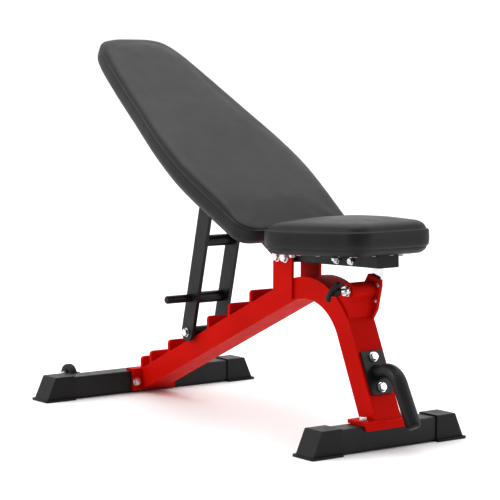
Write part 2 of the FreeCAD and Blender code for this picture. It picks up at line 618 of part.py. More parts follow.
# ---------------------------------------------------------------- wheels
wheel_x = REAR_BAR_X - bar_half - WHEEL_GAP - WHEEL / 2.0
brackets = []
axles = []
for side, name in ((1.0, "wheel_left"), (-1.0, "wheel_right")):
    y_mid = side * WHEEL_Y
    wheel = cross_rod(wheel_x, WHEEL_Z, WHEEL / 2.0, y_mid - WHEEL_WIDTH / 2.0,
                      y_mid + WHEEL_WIDTH / 2.0)
    wheel = rounded(wheel, 5.0, lambda e: e.Curve.TypeId == "Part::GeomCircle")
    for face_side in (-1.0, 1.0):
        y_face = y_mid + face_side * WHEEL_WIDTH / 2.0
        y_dish = y_face - face_side * 3.0
        dish = cross_rod(wheel_x, WHEEL_Z, 14.0, min(y_face, y_dish), max(y_face, y_dish))
        boss = cross_rod(wheel_x, WHEEL_Z, 8.0, min(y_face, y_dish), max(y_face, y_dish))
        wheel = wheel.cut(dish.cut(boss))
    wheel = wheel.cut(cross_rod(wheel_x, WHEEL_Z, WHEEL_AXLE / 2.0 + RUN_CLEARANCE,
                                y_mid - WHEEL_WIDTH, y_mid + WHEEL_WIDTH))
    parts[name] = wheel
    near = WHEEL_Y - WHEEL_WIDTH / 2.0 - WHEEL_SIDE_GAP
    outer_face = WHEEL_Y + WHEEL_WIDTH / 2.0 + WHEEL_SIDE_GAP
    ear_z = 13.0
    ears = []
    for y_in, y_out in ((near - WHEEL_BRACKET, near), (outer_face, outer_face + WHEEL_BRACKET)):
        y0 = min(side * y_in, side * y_out)
        ear = box(wheel_x, REAR_BAR_X - bar_half, y0, y0 + WHEEL_BRACKET, WHEEL_Z - ear_z,
                  bar_top)
        ear = ear.fuse(cross_rod(wheel_x, WHEEL_Z, ear_z, y0, y0 + WHEEL_BRACKET))
        ear = ear.cut(cross_rod(wheel_x, WHEEL_Z, WHEEL_AXLE / 2.0, y0 - 1.0,
                                y0 + WHEEL_BRACKET + 1.0))
        ears.append(ear.removeSplitter())
    brackets += ears
    grip = outer_face - near + 2.0 * WHEEL_BRACKET
    axles.append(bolt(V(wheel_x, side * (outer_face + WHEEL_BRACKET), WHEEL_Z), V(0, -side, 0),
                      WHEEL_AXLE, M8_HEAD, grip + 8.0, grip))
parts["wheel_brackets"] = group(brackets)
parts["wheel_axle_bolts"] = group(axles)


# ---------------------------------------------------------------- back rest
def on_back(shape):
    return tilt(shape, BACK_FACE_X, BACK_FACE_Z, BACK_ANGLE)


def back_local(x, z):
    """World point to distance along the board and height over its front face."""
    a = math.radians(BACK_ANGLE)
    dx = x - BACK_FACE_X
    dz = z - BACK_FACE_Z
    return -dx * math.cos(a) + dz * math.sin(a), dx * math.sin(a) + dz * math.cos(a)


def outline(start, start_half, side, end, end_half, inset):
    """Closed pad outline: straight start edge, splined sides, curved or straight end."""
    pts = [V(start + inset, start_half - inset, 0)]
    pts += [V(s, w - inset, 0) for s, w in side]
    if end_half is None:
        pts += [V(end - inset, 0, 0)]
        pts += [V(p.x, -p.y, 0) for p in reversed(pts[:-1])]
        curve = Part.BSplineCurve()
        curve.interpolate(pts)
        edges = [curve.toShape(), Part.makeLine(pts[-1], pts[0])]
    else:
        pts += [V(end - inset, end_half - inset, 0)]
        mirror = [V(p.x, -p.y, 0) for p in reversed(pts)]
        left = Part.BSplineCurve()
        left.interpolate(pts)
        right = Part.BSplineCurve()
        right.interpolate(mirror)
        edges = [left.toShape(), Part.makeLine(pts[-1], mirror[0]), right.toShape(),
                 Part.makeLine(mirror[-1], pts[0])]
    return Part.Face(Part.Wire(edges))


def pad_solid(face, z0, z1, edge_radius):
    face = face.copy()
    face.translate(V(0, 0, z0))
    solid = face.extrude(V(0, 0, z1 - z0))
    return rounded(solid, edge_radius, lambda e: e.BoundBox.ZMin > z1 - 0.1)


flip = FreeCAD.Rotation(V(0, 0, 1), 180)
back_face = outline(BACK_START, BACK_BOTTOM_HALF, BACK_SIDE, BACK_END, None, 0.0)
board_side = [(s, w) for s, w in BACK_SIDE if s < BACK_END - 2.0 * BOARD_INSET]
board_face = outline(BACK_START, BACK_BOTTOM_HALF, board_side, BACK_END, None, BOARD_INSET)
for face in (back_face, board_face):
    face.rotate(V(0, 0, 0), V(0, 0, 1), 180)
board_under = -BACK_PAD - BACK_BOARD
parts["back_pad"] = on_back(pad_solid(back_face, -BACK_PAD, 0.0, BACK_EDGE))
board_face.translate(V(0, 0, board_under))
board = board_face.extrude(V(0, 0, BACK_BOARD))

back_tube_top = board_under - CROSS_PLATE
back_tube_low = back_tube_top - BACK_TUBE_DEPTH
back_half = BACK_TUBE_WIDTH / 2.0
back_tube = box(-BACK_TUBE_END, -BACK_TUBE_START, -back_half, back_half, back_tube_low,
                back_tube_top)
back_tube = rounded(back_tube, 4.0, lambda e: parallel(e, V(1, 0, 0)))
back_tube = back_tube.cut(box(-BACK_TUBE_END - 1.0, -BACK_TUBE_START + 1.0,
                              -back_half + BACK_TUBE_WALL, back_half - BACK_TUBE_WALL,
                              back_tube_low + BACK_TUBE_WALL, back_tube_top - BACK_TUBE_WALL))
pivot_s, pivot_n = back_local(BACK_PIVOT_X, PIVOT_Z)
sleeve_half = tube_half - SIDE_CLEARANCE
sleeve_radius = PIVOT_SLEEVE / 2.0


def sleeve(x, z, half):
    tube = cross_rod(x, z, sleeve_radius, -half, half)
    return tube.cut(cross_rod(x, z, pivot_bore, -half - 1.0, half + 1.0))


parts["back_pivot_sleeve"] = sleeve(BACK_PIVOT_X, PIVOT_Z, sleeve_half)
back_tube = back_tube.cut(cross_rod(-pivot_s, pivot_n, sleeve_radius, -60, 60))

# Ladder geometry in the world: its foot bar sits in the chosen notch.
foot_radius = FOOT_BAR / 2.0
foot_x = tooth_fronts[REST_TOOTH] + foot_radius + FOOT_BAR_GAP
foot_z = rail_top_z(foot_x) + (foot_radius + FOOT_BAR_GAP) / math.cos(rail_rad)
lean = math.radians(LADDER_LEAN)
ladder_x = foot_x + LADDER_LENGTH * math.sin(lean)
ladder_z = foot_z + LADDER_LENGTH * math.cos(lean)
ladder_s, ladder_n = back_local(ladder_x, ladder_z)

back_tube = back_tube.cut(cross_rod(-ladder_s, ladder_n, sleeve_radius, -60, 60))
parts["ladder_pivot_tube"] = sleeve(ladder_x, ladder_z, LADDER_INNER - LADDER_PIVOT_GAP)
cross_plates = []
back_screws = []
for s in CROSS_PLATE_AT:
    plate = box(-s - CROSS_PLATE_LENGTH / 2.0, -s + CROSS_PLATE_LENGTH / 2.0, -CROSS_PLATE_HALF,
                CROSS_PLATE_HALF, back_tube_top, board_under)
    plate = rounded(plate, 6.0, lambda e: parallel(e, V(0, 0, 1)))
    for side in (-1.0, 1.0):
        p = V(-s, side * PAD_SCREW_Y, back_tube_top)
        hole = rod(p - V(0, 0, 1), V(0, 0, 1), PAD_SCREW / 2.0, CROSS_PLATE + PAD_SCREW_GRIP + 1.0)
        plate = plate.cut(hole)
        board = board.cut(hole)
        back_screws.append(bolt(p, V(0, 0, 1), PAD_SCREW, M8_HEAD, CROSS_PLATE + PAD_SCREW_GRIP))
    cross_plates.append(plate)
parts["back_board"] = on_back(board)
parts["back_frame_tube"] = on_back(back_tube)
parts["back_cross_plates"] = on_back(group(cross_plates))
parts["back_pad_screws"] = on_back(group(back_screws))
end_plug = box(-BACK_TUBE_END - 3.0, -BACK_TUBE_END, -back_half, back_half, back_tube_low,
               back_tube_top)
end_plug = rounded(end_plug, 2.0, lambda e: parallel(e, V(1, 0, 0)))
end_plug = end_plug.fuse(box(-BACK_TUBE_END, -BACK_TUBE_END + 15.0, -back_half + BACK_TUBE_WALL,
                             back_half - BACK_TUBE_WALL, back_tube_low + BACK_TUBE_WALL,
                             back_tube_top - BACK_TUBE_WALL))
parts["back_tube_plug"] = on_back(end_plug.removeSplitter())


# ---------------------------------------------------------------- ladder
def on_ladder(shape):
    return tilt(shape, foot_x, foot_z, LADDER_LEAN)


bar_half_width = LADDER_WIDTH / 2.0
ladder_outer = LADDER_INNER + LADDER_PLATE


def ladder_bar(y0, y1):
    bar = box(-bar_half_width, bar_half_width, y0, y1, 0.0, LADDER_LENGTH)
    bar = bar.fuse(cross_rod(0.0, 0.0, bar_half_width, y0, y1))
    bar = bar.fuse(cross_rod(0.0, LADDER_LENGTH, bar_half_width, y0, y1)).removeSplitter()
    bar = bar.cut(cross_rod(0.0, LADDER_LENGTH, pivot_bore, y0 - 1.0, y1 + 1.0))
    bar = bar.cut(cross_rod(0.0, 0.0, M10 / 2.0, y0 - 1.0, y1 + 1.0))
    return on_ladder(bar)


parts["ladder_bar_left"] = ladder_bar(LADDER_INNER, ladder_outer)
parts["ladder_bar_right"] = ladder_bar(-ladder_outer, -LADDER_INNER)
tube_r = LADDER_TUBE / 2.0
for name, at in (("ladder_top_crossbar", TOP_BAR_AT), ("ladder_mid_crossbar", MID_BAR_AT)):
    bar = cross_rod(-LADDER_TUBE_BACK, at, tube_r, -LADDER_INNER, LADDER_INNER)
    bar = bar.cut(cross_rod(-LADDER_TUBE_BACK, at, tube_r - 2.5, -LADDER_INNER, LADDER_INNER))
    parts[name] = on_ladder(bar)
foot_bar = cross_rod(0.0, 0.0, foot_radius, -LADDER_INNER, LADDER_INNER)
foot_bar = foot_bar.cut(cross_rod(0.0, 0.0, M10 / 2.0, -LADDER_INNER, LADDER_INNER))
parts["ladder_foot_bar"] = on_ladder(foot_bar)
handle_rod = cross_rod(-LADDER_TUBE_BACK, MID_BAR_AT, HANDLE_ROD / 2.0, -HANDLE_ROD_END,
                       -ladder_outer)
handle_rod = rounded(handle_rod, 4.0, lambda e: e.Curve.TypeId == "Part::GeomCircle"
                     and e.BoundBox.YMax < -HANDLE_ROD_END + 1.0)
parts["ladder_handle_rod"] = on_ladder(handle_rod)
foot_reach = 2.0 * ladder_outer
parts["ladder_foot_bolt"] = on_ladder(bolt(V(0, -ladder_outer, 0), V(0, 1, 0), M10, M10_HEAD,
                                           foot_reach + 10.0, foot_reach))
parts["ladder_pivot_bolt"] = bolt(V(ladder_x, -ladder_outer, ladder_z), V(0, 1, 0), PIVOT_BOLT,
                                  M12_HEAD, foot_reach + 12.0, foot_reach)


# ---------------------------------------------------------------- seat
def on_seat(shape):
    return tilt(shape, SEAT_PIVOT_X, PIVOT_Z, -SEAT_RISE)


seat_half = SEAT_TUBE_WIDTH / 2.0
seat_tube_top = SEAT_TUBE_BOTTOM + SEAT_TUBE_HEIGHT
seat_tube = box(SEAT_TUBE_START, SEAT_TUBE_END, -seat_half, seat_half, SEAT_TUBE_BOTTOM,
                seat_tube_top)
seat_tube = rounded(seat_tube, 4.0, lambda e: parallel(e, V(1, 0, 0)))
seat_tube = seat_tube.cut(box(SEAT_TUBE_START - 1.0, SEAT_TUBE_END + 1.0,
                              -seat_half + SEAT_TUBE_WALL, seat_half - SEAT_TUBE_WALL,
                              SEAT_TUBE_BOTTOM + SEAT_TUBE_WALL, seat_tube_top - SEAT_TUBE_WALL))
seat_tube = seat_tube.cut(cross_rod(0.0, 0.0, sleeve_radius, -60, 60))
parts["seat_pivot_sleeve"] = sleeve(SEAT_PIVOT_X, PIVOT_Z, sleeve_half)
plug = box(SEAT_TUBE_END, SEAT_TUBE_END + SEAT_PLUG, -seat_half, seat_half, SEAT_TUBE_BOTTOM,
           seat_tube_top)
plug = rounded(plug, 3.0, lambda e: parallel(e, V(1, 0, 0)))
plug = plug.fuse(box(SEAT_TUBE_END - 14.0, SEAT_TUBE_END, -seat_half + SEAT_TUBE_WALL,
                     seat_half - SEAT_TUBE_WALL, SEAT_TUBE_BOTTOM + SEAT_TUBE_WALL,
                     seat_tube_top - SEAT_TUBE_WALL))
parts["seat_tube_plug"] = on_seat(plug.removeSplitter())

seat_face = outline(SEAT_BACK, SEAT_BACK_HALF, SEAT_SIDE, SEAT_FRONT, SEAT_FRONT_HALF, 0.0)
seat_board_face = outline(SEAT_BACK, SEAT_BACK_HALF, SEAT_SIDE, SEAT_FRONT, SEAT_FRONT_HALF,
                          BOARD_INSET)
board_top = seat_tube_top + SEAT_BOARD
parts["seat_pad"] = on_seat(pad_solid(seat_face, board_top, board_top + SEAT_PAD, SEAT_EDGE))
seat_board_face.translate(V(0, 0, seat_tube_top))
seat_board = seat_board_face.extrude(V(0, 0, SEAT_BOARD))

wings = []
seat_screws = []
for x in WING_AT:
    for side in (-1.0, 1.0):
        y0 = min(side * seat_half, side * WING_HALF)
        wing = box(x - WING_LENGTH / 2.0, x + WING_LENGTH / 2.0, y0, y0 + WING_HALF - seat_half,
                   seat_tube_top - CROSS_PLATE, seat_tube_top)
        p = V(x, side * WING_SCREW_Y, seat_tube_top - CROSS_PLATE)
        hole = rod(p - V(0, 0, 1), V(0, 0, 1), PAD_SCREW / 2.0, CROSS_PLATE + PAD_SCREW_GRIP + 1.0)
        wings.append(wing.cut(hole))
        seat_board = seat_board.cut(hole)
        seat_screws.append(bolt(p, V(0, 0, 1), PAD_SCREW, M8_HEAD, CROSS_PLATE + PAD_SCREW_GRIP))
parts["seat_board"] = on_seat(seat_board)
parts["seat_wings"] = on_seat(group(wings))
parts["seat_pad_screws"] = on_seat(group(seat_screws))

# ---------------------------------------------------------------- curved seat bar
arc_outer_face = ARC_INNER_FACE + ARC_PLATE
phase = arc_phase + SEAT_RISE
arc_out = arc_radius + ARC_WIDTH / 2.0
arc_in = arc_radius - ARC_WIDTH / 2.0
ring = cross_rod(0.0, 0.0, arc_out, ARC_INNER_FACE, arc_outer_face)
ring = ring.cut(cross_rod(0.0, 0.0, arc_in, ARC_INNER_FACE, arc_outer_face))
tail = math.radians(ARC_TAIL + SEAT_RISE)
reach = 2.0 * arc_out
sector = plate_xz([(0.0, 0.0), (0.0, ARC_ARM_TOP), (reach, ARC_ARM_TOP),
                   (reach, -reach * math.tan(tail))], ARC_INNER_FACE, arc_outer_face)
arm = box(ARC_ARM_START, arc_in + 10.0, ARC_INNER_FACE, arc_outer_face, ARC_ARM_BOTTOM,
          ARC_ARM_TOP)
arm = rounded(arm, 6.0, lambda e: parallel(e, V(0, 1, 0)) and e.BoundBox.XMax < arc_in)
arc_bar = ring.common(sector).fuse(arm).removeSplitter()
for i in range(ARC_STEPS):
    a = math.radians(phase + i * ARC_STEP)
    arc_bar = arc_bar.cut(cross_rod(arc_radius * math.cos(a), -arc_radius * math.sin(a),
                                    pin_radius + ARC_HOLE_CLEARANCE, ARC_INNER_FACE - 1.0,
                                    arc_outer_face + 1.0))
spacer = box(ARC_ARM_START, ARC_ARM_START + 78.0, seat_half, ARC_INNER_FACE, ARC_ARM_BOTTOM,
             ARC_ARM_TOP)
arc_bolts = []
for x in ARC_BOLT_AT:
    hole = cross_rod(x, 1.0, ARC_BOLT / 2.0, -60, 60)
    arc_bar = arc_bar.cut(hole)
    spacer = spacer.cut(hole)
    seat_tube = seat_tube.cut(hole)
    arc_bolts.append(bolt(V(x, -seat_half, 1.0), V(0, 1, 0), ARC_BOLT, M8_HEAD,
                          seat_half + arc_outer_face + 8.0, seat_half + arc_outer_face))
parts["seat_tube"] = on_seat(seat_tube)
parts["seat_arc"] = on_seat(arc_bar)
parts["seat_arc_spacer"] = on_seat(spacer)
parts["seat_arc_bolts"] = on_seat(group(arc_bolts))

# ---------------------------------------------------------------- place and write
back_rad = math.radians(BACK_ANGLE)
rear_limit = (BACK_FACE_X - (BACK_END - BOARD_INSET) * math.cos(back_rad)
              + board_under * math.sin(back_rad))
front_limit = parts["handle_end_cap"].optimalBoundingBox(False, False).XMax
shift = V(-(rear_limit + front_limit) / 2.0, 0, 0)
for name in sorted(parts):
    shape = parts[name].copy()
    shape.translate(shift)
    shape.exportStep(os.path.join("parts", name + ".step"))
print(len(parts), "pieces, shift", round(shift.x, 3))
for label, x, z in (("back pivot", BACK_PIVOT_X, PIVOT_Z), ("seat pivot", SEAT_PIVOT_X, PIVOT_Z),
                    ("ladder pivot", ladder_x, ladder_z), ("foot bar", foot_x, foot_z),
                    ("wheel", wheel_x, WHEEL_Z), ("pin", PIN_X, PIN_Z)):
    print(label, round(x + shift.x, 3), round(z, 3))
print("ladder pivot on the back", round(ladder_s, 2), round(ladder_n, 2))
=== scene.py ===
"""Looks of an adjustable weight bench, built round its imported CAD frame. Units are metres."""

import json
import math

import bmesh
import bpy
from mathutils import Matrix, Vector, noise


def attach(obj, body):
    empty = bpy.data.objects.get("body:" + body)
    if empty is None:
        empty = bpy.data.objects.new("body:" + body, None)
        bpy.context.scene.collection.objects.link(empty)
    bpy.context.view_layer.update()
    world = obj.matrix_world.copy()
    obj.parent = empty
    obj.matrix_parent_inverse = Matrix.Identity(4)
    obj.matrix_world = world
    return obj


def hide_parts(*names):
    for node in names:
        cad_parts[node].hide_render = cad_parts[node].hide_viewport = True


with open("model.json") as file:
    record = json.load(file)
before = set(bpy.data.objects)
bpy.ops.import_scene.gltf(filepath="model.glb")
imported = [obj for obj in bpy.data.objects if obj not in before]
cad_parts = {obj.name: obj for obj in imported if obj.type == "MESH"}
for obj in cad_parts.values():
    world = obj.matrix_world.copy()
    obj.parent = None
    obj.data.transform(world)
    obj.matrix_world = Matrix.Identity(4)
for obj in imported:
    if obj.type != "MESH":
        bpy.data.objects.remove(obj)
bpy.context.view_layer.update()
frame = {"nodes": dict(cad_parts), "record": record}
scene = bpy.context.scene
MM = 0.001

# ---------------------------------------------------------------- camera
CAMERA_AT = (3.40369, -2.59240, 0.79696)
CAMERA_RIGHT = (0.60111177, 0.79914865, 0.00510608)
CAMERA_UP = (-0.08169336, 0.05509063, 0.99513377)
CAMERA_BACK = (0.79497852, -0.59860375, 0.09840076)
SENSOR = 36.0
LENS = 139.55
SHIFT = 0.0029
STUDIO_FRONT = (0.799, -0.601, 0.0)


def make_camera():
    data = bpy.data.cameras.new("camera")
    data.sensor_width = SENSOR
    data.lens = LENS
    data.shift_x = SHIFT
    data.clip_start = 0.05
    data.clip_end = 200.0
    camera = bpy.data.objects.new("camera", data)
    scene.collection.objects.link(camera)
    turn = Matrix((CAMERA_RIGHT, CAMERA_UP, CAMERA_BACK)).transposed()
    camera.matrix_world = Matrix.Translation(CAMERA_AT) @ turn.to_4x4()
    scene.camera = camera


# ---------------------------------------------------------------- materials
class Shader:
    """A Principled material with short calls for the nodes that feed it."""

    def __init__(self, name, rough=0.5, metal=0.0, coat=0.0, coat_rough=0.1, specular=0.5):
        self.mat = bpy.data.materials.new(name)
        self.mat.use_nodes = True
        self.tree = self.mat.node_tree
        self.bsdf = next(n for n in self.tree.nodes if n.type == "BSDF_PRINCIPLED")
        self.set("Roughness", rough)
        self.set("Metallic", metal)
        self.set("Coat Weight", coat)
        self.set("Coat Roughness", coat_rough)
        self.set("Specular IOR Level", specular)
        coords = self.node("ShaderNodeTexCoord")
        self.place = coords.outputs["Object"]

    def set(self, socket, value):
        self.bsdf.inputs[socket].default_value = value

    def node(self, kind, **values):
        made = self.tree.nodes.new(kind)
        for key, value in values.items():
            setattr(made, key, value)
        return made

    def link(self, output, target):
        self.tree.links.new(output, target)
        return output

    def stretched(self, factors):
        mapping = self.node("ShaderNodeMapping")
        mapping.inputs["Scale"].default_value = factors
        self.link(self.place, mapping.inputs["Vector"])
        return mapping.outputs["Vector"]

    def noise(self, scale, detail=3.0, rough=0.5, vector=None):
        made = self.node("ShaderNodeTexNoise")
        made.inputs["Scale"].default_value = scale
        made.inputs["Detail"].default_value = detail
        made.inputs["Roughness"].default_value = rough
        self.link(vector or self.place, made.inputs["Vector"])
        return made.outputs["Fac"]

    def cells(self, scale, vector=None):
        made = self.node("ShaderNodeTexVoronoi", feature="F1")
        made.inputs["Scale"].default_value = scale
        self.link(vector or self.place, made.inputs["Vector"])
        return made.outputs["Distance"]

    def wave(self, scale, direction):
        made = self.node("ShaderNodeTexWave", bands_direction=direction)
        made.inputs["Scale"].default_value = scale
        made.inputs["Distortion"].default_value = 0.6
        self.link(self.place, made.inputs["Vector"])
        return made.outputs["Fac"]

    def spread(self, value, low, high, out_low, out_high):
        made = self.node("ShaderNodeMapRange")
        for key, number in (("From Min", low), ("From Max", high), ("To Min", out_low),
                            ("To Max", out_high)):
            made.inputs[key].default_value = number
        self.link(value, made.inputs["Value"])
        return made.outputs["Result"]

    def maths(self, operation, a, b):
        made = self.node("ShaderNodeMath", operation=operation)
        for socket, value in ((made.inputs[0], a), (made.inputs[1], b)):
            if isinstance(value, (int, float)):
                socket.default_value = value
            else:
                self.link(value, socket)
        return made.outputs["Value"]

    def tones(self, value, stops):
        made = self.node("ShaderNodeValToRGB")
        ramp = made.color_ramp
        while len(ramp.elements) < len(stops):
            ramp.elements.new(0.5)
        for element, (at, colour) in zip(ramp.elements, stops):
            element.position = at
            element.color = (*colour, 1.0)
        self.link(value, made.inputs["Fac"])
        return made.outputs["Color"]

    def mix(self, factor, a, b):
        made = self.node("ShaderNodeMix", data_type="RGBA")
        self.link(factor, made.inputs["Factor"])
        for socket, value in ((made.inputs["A"], a), (made.inputs["B"], b)):
            if isinstance(value, tuple):
                socket.default_value = (*value, 1.0)
            else:
                self.link(value, socket)
        return made.outputs["Result"]

    def edge_mask(self, radius, low, high):
        """1 on outer and inner edges, 0 on flat faces."""
        soft = self.node("ShaderNodeBevel", samples=4)
        soft.inputs["Radius"].default_value = radius
        flat = self.node("ShaderNodeNewGeometry")
        dot = self.node("ShaderNodeVectorMath", operation="DOT_PRODUCT")
        self.link(soft.outputs["Normal"], dot.inputs[0])
        self.link(flat.outputs["Normal"], dot.inputs[1])
        return self.spread(dot.outputs["Value"], low, high, 1.0, 0.0)

    def colour(self, output):
        self.link(output, self.bsdf.inputs["Base Color"])

    def roughness(self, output):
        self.link(output, self.bsdf.inputs["Roughness"])

    def bump(self, *layers):
        """Each layer is (height output, strength, distance)."""
        last = None
        for height, strength, distance in layers:
            made = self.node("ShaderNodeBump")
            made.inputs["Strength"].default_value = strength
            made.inputs["Distance"].default_value = distance
            self.link(height, made.inputs["Height"])
            if last is not None:
                self.link(last, made.inputs["Normal"])
            last = made.outputs["Normal"]
        self.link(last, self.bsdf.inputs["Normal"])


def paint(name, deep, plain, scuff_and_highlight_tone, rough_low, rough_high, coat, gloss):
    """Powder coat: orange peel, faint cloudiness, a painted highlight along the edges and small
    scuffs.
    """
    s = Shader(name, coat=coat, coat_rough=0.12, specular=gloss)
    cloud = s.tones(s.noise(7.0, 4.0), [(0.30, deep), (0.65, plain)])
    patchy = s.spread(s.noise(90.0, 4.0), 0.35, 0.62, 0.15, 1.0)
    # Painted highlight: lighter colour along outer and inner edges, broken up by patchy noise.
    edge = s.maths("MULTIPLY", s.edge_mask(0.0012, 0.86, 0.985), patchy)
    scratches = s.noise(38.0, 6.0, 0.7, s.stretched((1.0, 5.0, 2.0)))
    scuff = s.spread(scratches, 0.66, 0.74, 0.0, 0.35)
    # The lighter tone goes on the painted edge highlight and on the real scuffs.
    scuff_and_highlight_mask = s.maths("MAXIMUM", edge, scuff)
    s.colour(s.mix(scuff_and_highlight_mask, cloud, scuff_and_highlight_tone))
    s.roughness(s.spread(s.noise(55.0, 3.0), 0.3, 0.7, rough_low, rough_high))
    s.bump((s.noise(420.0, 2.0), 0.22, 0.0003), (s.noise(14.0, 2.0), 0.10, 0.0006))
    return s.mat


def moulded_plastic():
    s = Shader("moulded_plastic", specular=0.35)
    s.colour(s.tones(s.noise(9.0, 3.0), [(0.3, (0.009, 0.009, 0.010)),
                                         (0.7, (0.016, 0.016, 0.017))]))
    s.roughness(s.spread(s.noise(60.0, 4.0), 0.3, 0.7, 0.34, 0.50))
    s.bump((s.cells(1100.0), 0.18, 0.0002), (s.noise(30.0, 2.0), 0.08, 0.0005))
    return s.mat


def vinyl():
    """Satin vinyl: fine pebble grain over soft handling marks."""
    s = Shader("grained_vinyl", specular=0.38)
    s.colour(s.tones(s.noise(6.0, 4.0), [(0.3, (0.014, 0.014, 0.015)),
                                         (0.7, (0.022, 0.022, 0.023))]))
    s.roughness(s.spread(s.noise(24.0, 4.0), 0.3, 0.7, 0.38, 0.46))
    warped = s.node("ShaderNodeVectorMath", operation="MULTIPLY_ADD")
    wobble = s.node("ShaderNodeTexNoise")
    wobble.inputs["Scale"].default_value = 220.0
    s.link(s.place, wobble.inputs["Vector"])
    s.link(wobble.outputs["Color"], warped.inputs[0])
    warped.inputs[1].default_value = (0.0009, 0.0009, 0.0009)
    s.link(s.place, warped.inputs[2])
    grain = s.cells(640.0, warped.outputs["Vector"])
    s.bump((grain, 0.24, 0.0003), (s.noise(1500.0, 2.0), 0.10, 0.0002),
           (s.noise(7.0, 2.0), 0.10, 0.0012))
    return s.mat


def plated(name, low, high, rough_low, rough_high, streaks):
    """Zinc or chrome plate: fine drawn streaks and fingerprint-like dulling."""
    s = Shader(name, metal=1.0)
    s.colour(s.tones(s.noise(40.0, 4.0), [(0.3, low), (0.7, high)]))
    s.roughness(s.spread(s.noise(120.0, 5.0, 0.6), 0.3, 0.7, rough_low, rough_high))
    s.bump((s.noise(700.0, 3.0, 0.5, s.stretched((1.0, 1.0, 6.0))), streaks, 0.0001))
    return s.mat


def tyre():
    s = Shader("moulded_tyre", specular=0.4)
    s.colour(s.tones(s.noise(30.0, 4.0), [(0.3, (0.017, 0.017, 0.017)),
                                          (0.7, (0.035, 0.034, 0.033))]))
    s.roughness(s.spread(s.noise(80.0, 4.0), 0.3, 0.7, 0.50, 0.72))
    s.bump((s.noise(600.0, 4.0), 0.25, 0.0003))
    return s.mat


def backing_cloth():
    """Black non-woven cloth stretched over the boards under the pads."""
    s = Shader("backing_cloth", specular=0.25)
    s.set("Sheen Weight", 0.15)
    s.colour(s.tones(s.noise(420.0, 5.0, 0.7), [(0.35, (0.010, 0.010, 0.011)),
                                                (0.65, (0.028, 0.028, 0.029))]))
    s.roughness(s.spread(s.noise(200.0, 3.0), 0.3, 0.7, 0.80, 0.95))
    weave = s.maths("MAXIMUM", s.wave(260.0, "X"), s.wave(260.0, "Y"))
    s.bump((weave, 0.30, 0.0003), (s.noise(500.0, 5.0, 0.7), 0.30, 0.0004))
    return s.mat


def thread():
    s = Shader("sewing_thread", specular=0.3)
    s.colour(s.tones(s.noise(900.0, 2.0), [(0.3, (0.020, 0.020, 0.021)),
                                           (0.7, (0.045, 0.045, 0.047))]))
    s.roughness(s.spread(s.noise(300.0, 2.0), 0.3, 0.7, 0.55, 0.75))
    s.bump((s.wave(1800.0, "DIAGONAL"), 0.4, 0.0002))
    return s.mat


def floor_paint():
    """Pale floor that turns grey far off at the front of the studio: painted shade, so that the
    black faces mirror a dim floor on that side.
    """
    s = Shader("studio_floor", specular=0.1)
    along = s.node("ShaderNodeVectorMath", operation="DOT_PRODUCT")
    s.link(s.place, along.inputs[0])
    along.inputs[1].default_value = STUDIO_FRONT
    # Painted shade: the floor greys towards the front of the studio, from 1.2 m to 4.5 m out.
    painted_shade = s.spread(along.outputs["Value"], 1.2, 4.5, 0.0, 1.0)
    pale = s.tones(s.noise(0.8, 3.0), [(0.3, (0.90, 0.90, 0.90)), (0.7, (0.93, 0.93, 0.93))])
    s.colour(s.mix(painted_shade, pale, (0.30, 0.30, 0.30)))
    s.roughness(s.spread(s.noise(3.0, 3.0), 0.3, 0.7, 0.70, 0.85))
    s.bump((s.noise(60.0, 2.0), 0.03, 0.0005))
    return s.mat


MATERIALS = {
    "red_paint": paint("red_powder_coat", (0.52, 0.0060, 0.0018), (0.61, 0.009, 0.003),
                       (0.68, 0.036, 0.018), 0.38, 0.50, 0.0, 0.05),
    "black_paint": paint("black_powder_coat", (0.009, 0.009, 0.010), (0.015, 0.015, 0.016),
                         (0.055, 0.055, 0.058), 0.34, 0.48, 0.05, 0.40),
    "black_plastic": moulded_plastic(),
    "black_vinyl": vinyl(),
    "zinc_steel": plated("zinc_plate", (0.62, 0.63, 0.65), (0.80, 0.80, 0.81), 0.18, 0.36, 0.20),
    "chrome": plated("chrome_plate", (0.58, 0.58, 0.59), (0.68, 0.68, 0.69), 0.08, 0.18, 0.05),
    "spring_steel": plated("spring_wire", (0.45, 0.45, 0.46), (0.62, 0.62, 0.63), 0.20, 0.35, 0.15),
    "plywood": backing_cloth(),
    "wheel_rubber": tyre(),
}
THREAD = thread()


def dress_frame():
    """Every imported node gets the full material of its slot."""
    for row in frame["record"]["subparts"]:
        node = frame["nodes"][row["node"]]
        material = MATERIALS[row["material_slot"]]
        if not node.material_slots:
            node.data.materials.append(material)
        for holder in node.material_slots:
            holder.material = material


def emit(bm, name, smooth=True, material=None):
    """Turns a bmesh into a linked object."""
    bmesh.ops.recalc_face_normals(bm, faces=bm.faces)
    for face in bm.faces:
        face.smooth = smooth
    mesh = bpy.data.meshes.new(name)
    bm.to_mesh(mesh)
    bm.free()
    if material:
        mesh.materials.append(material)
    obj = bpy.data.objects.new(name, mesh)
    scene.collection.objects.link(obj)
    return obj


def tube_faces(bm, loops):
    """Joins loops of vertices into a closed tube."""
    sides = len(loops[0])
    for a, b in zip(loops, loops[1:]):
        for j in range(sides):
            k = (j + 1) % sides
            bm.faces.new((a[j], a[k], b[k], b[j]))
    bm.faces.new(list(reversed(loops[0])))
    bm.faces.new(loops[-1])


# ---------------------------------------------------------------- pad frames
class Plane:
    """Axes of a pad: along it, across it, and out of its padded face. spine is the stretch of the
    centre line that the crown's rings close on; droop is (drop, near, far) of the lowered end."""

    def __init__(self, origin, along, out, spine, droop):
        self.spine = spine
        self.droop = droop
        self.origin = Vector(origin)
        self.along = Vector(along).normalized()
        self.out = Vector(out).normalized()
        self.across = self.out.cross(self.along)

    def at(self, along, across, out):
        """A point from its three sizes in millimetres."""
        return (self.origin + self.along * (along * MM) + self.across * (across * MM)
                + self.out * (out * MM))


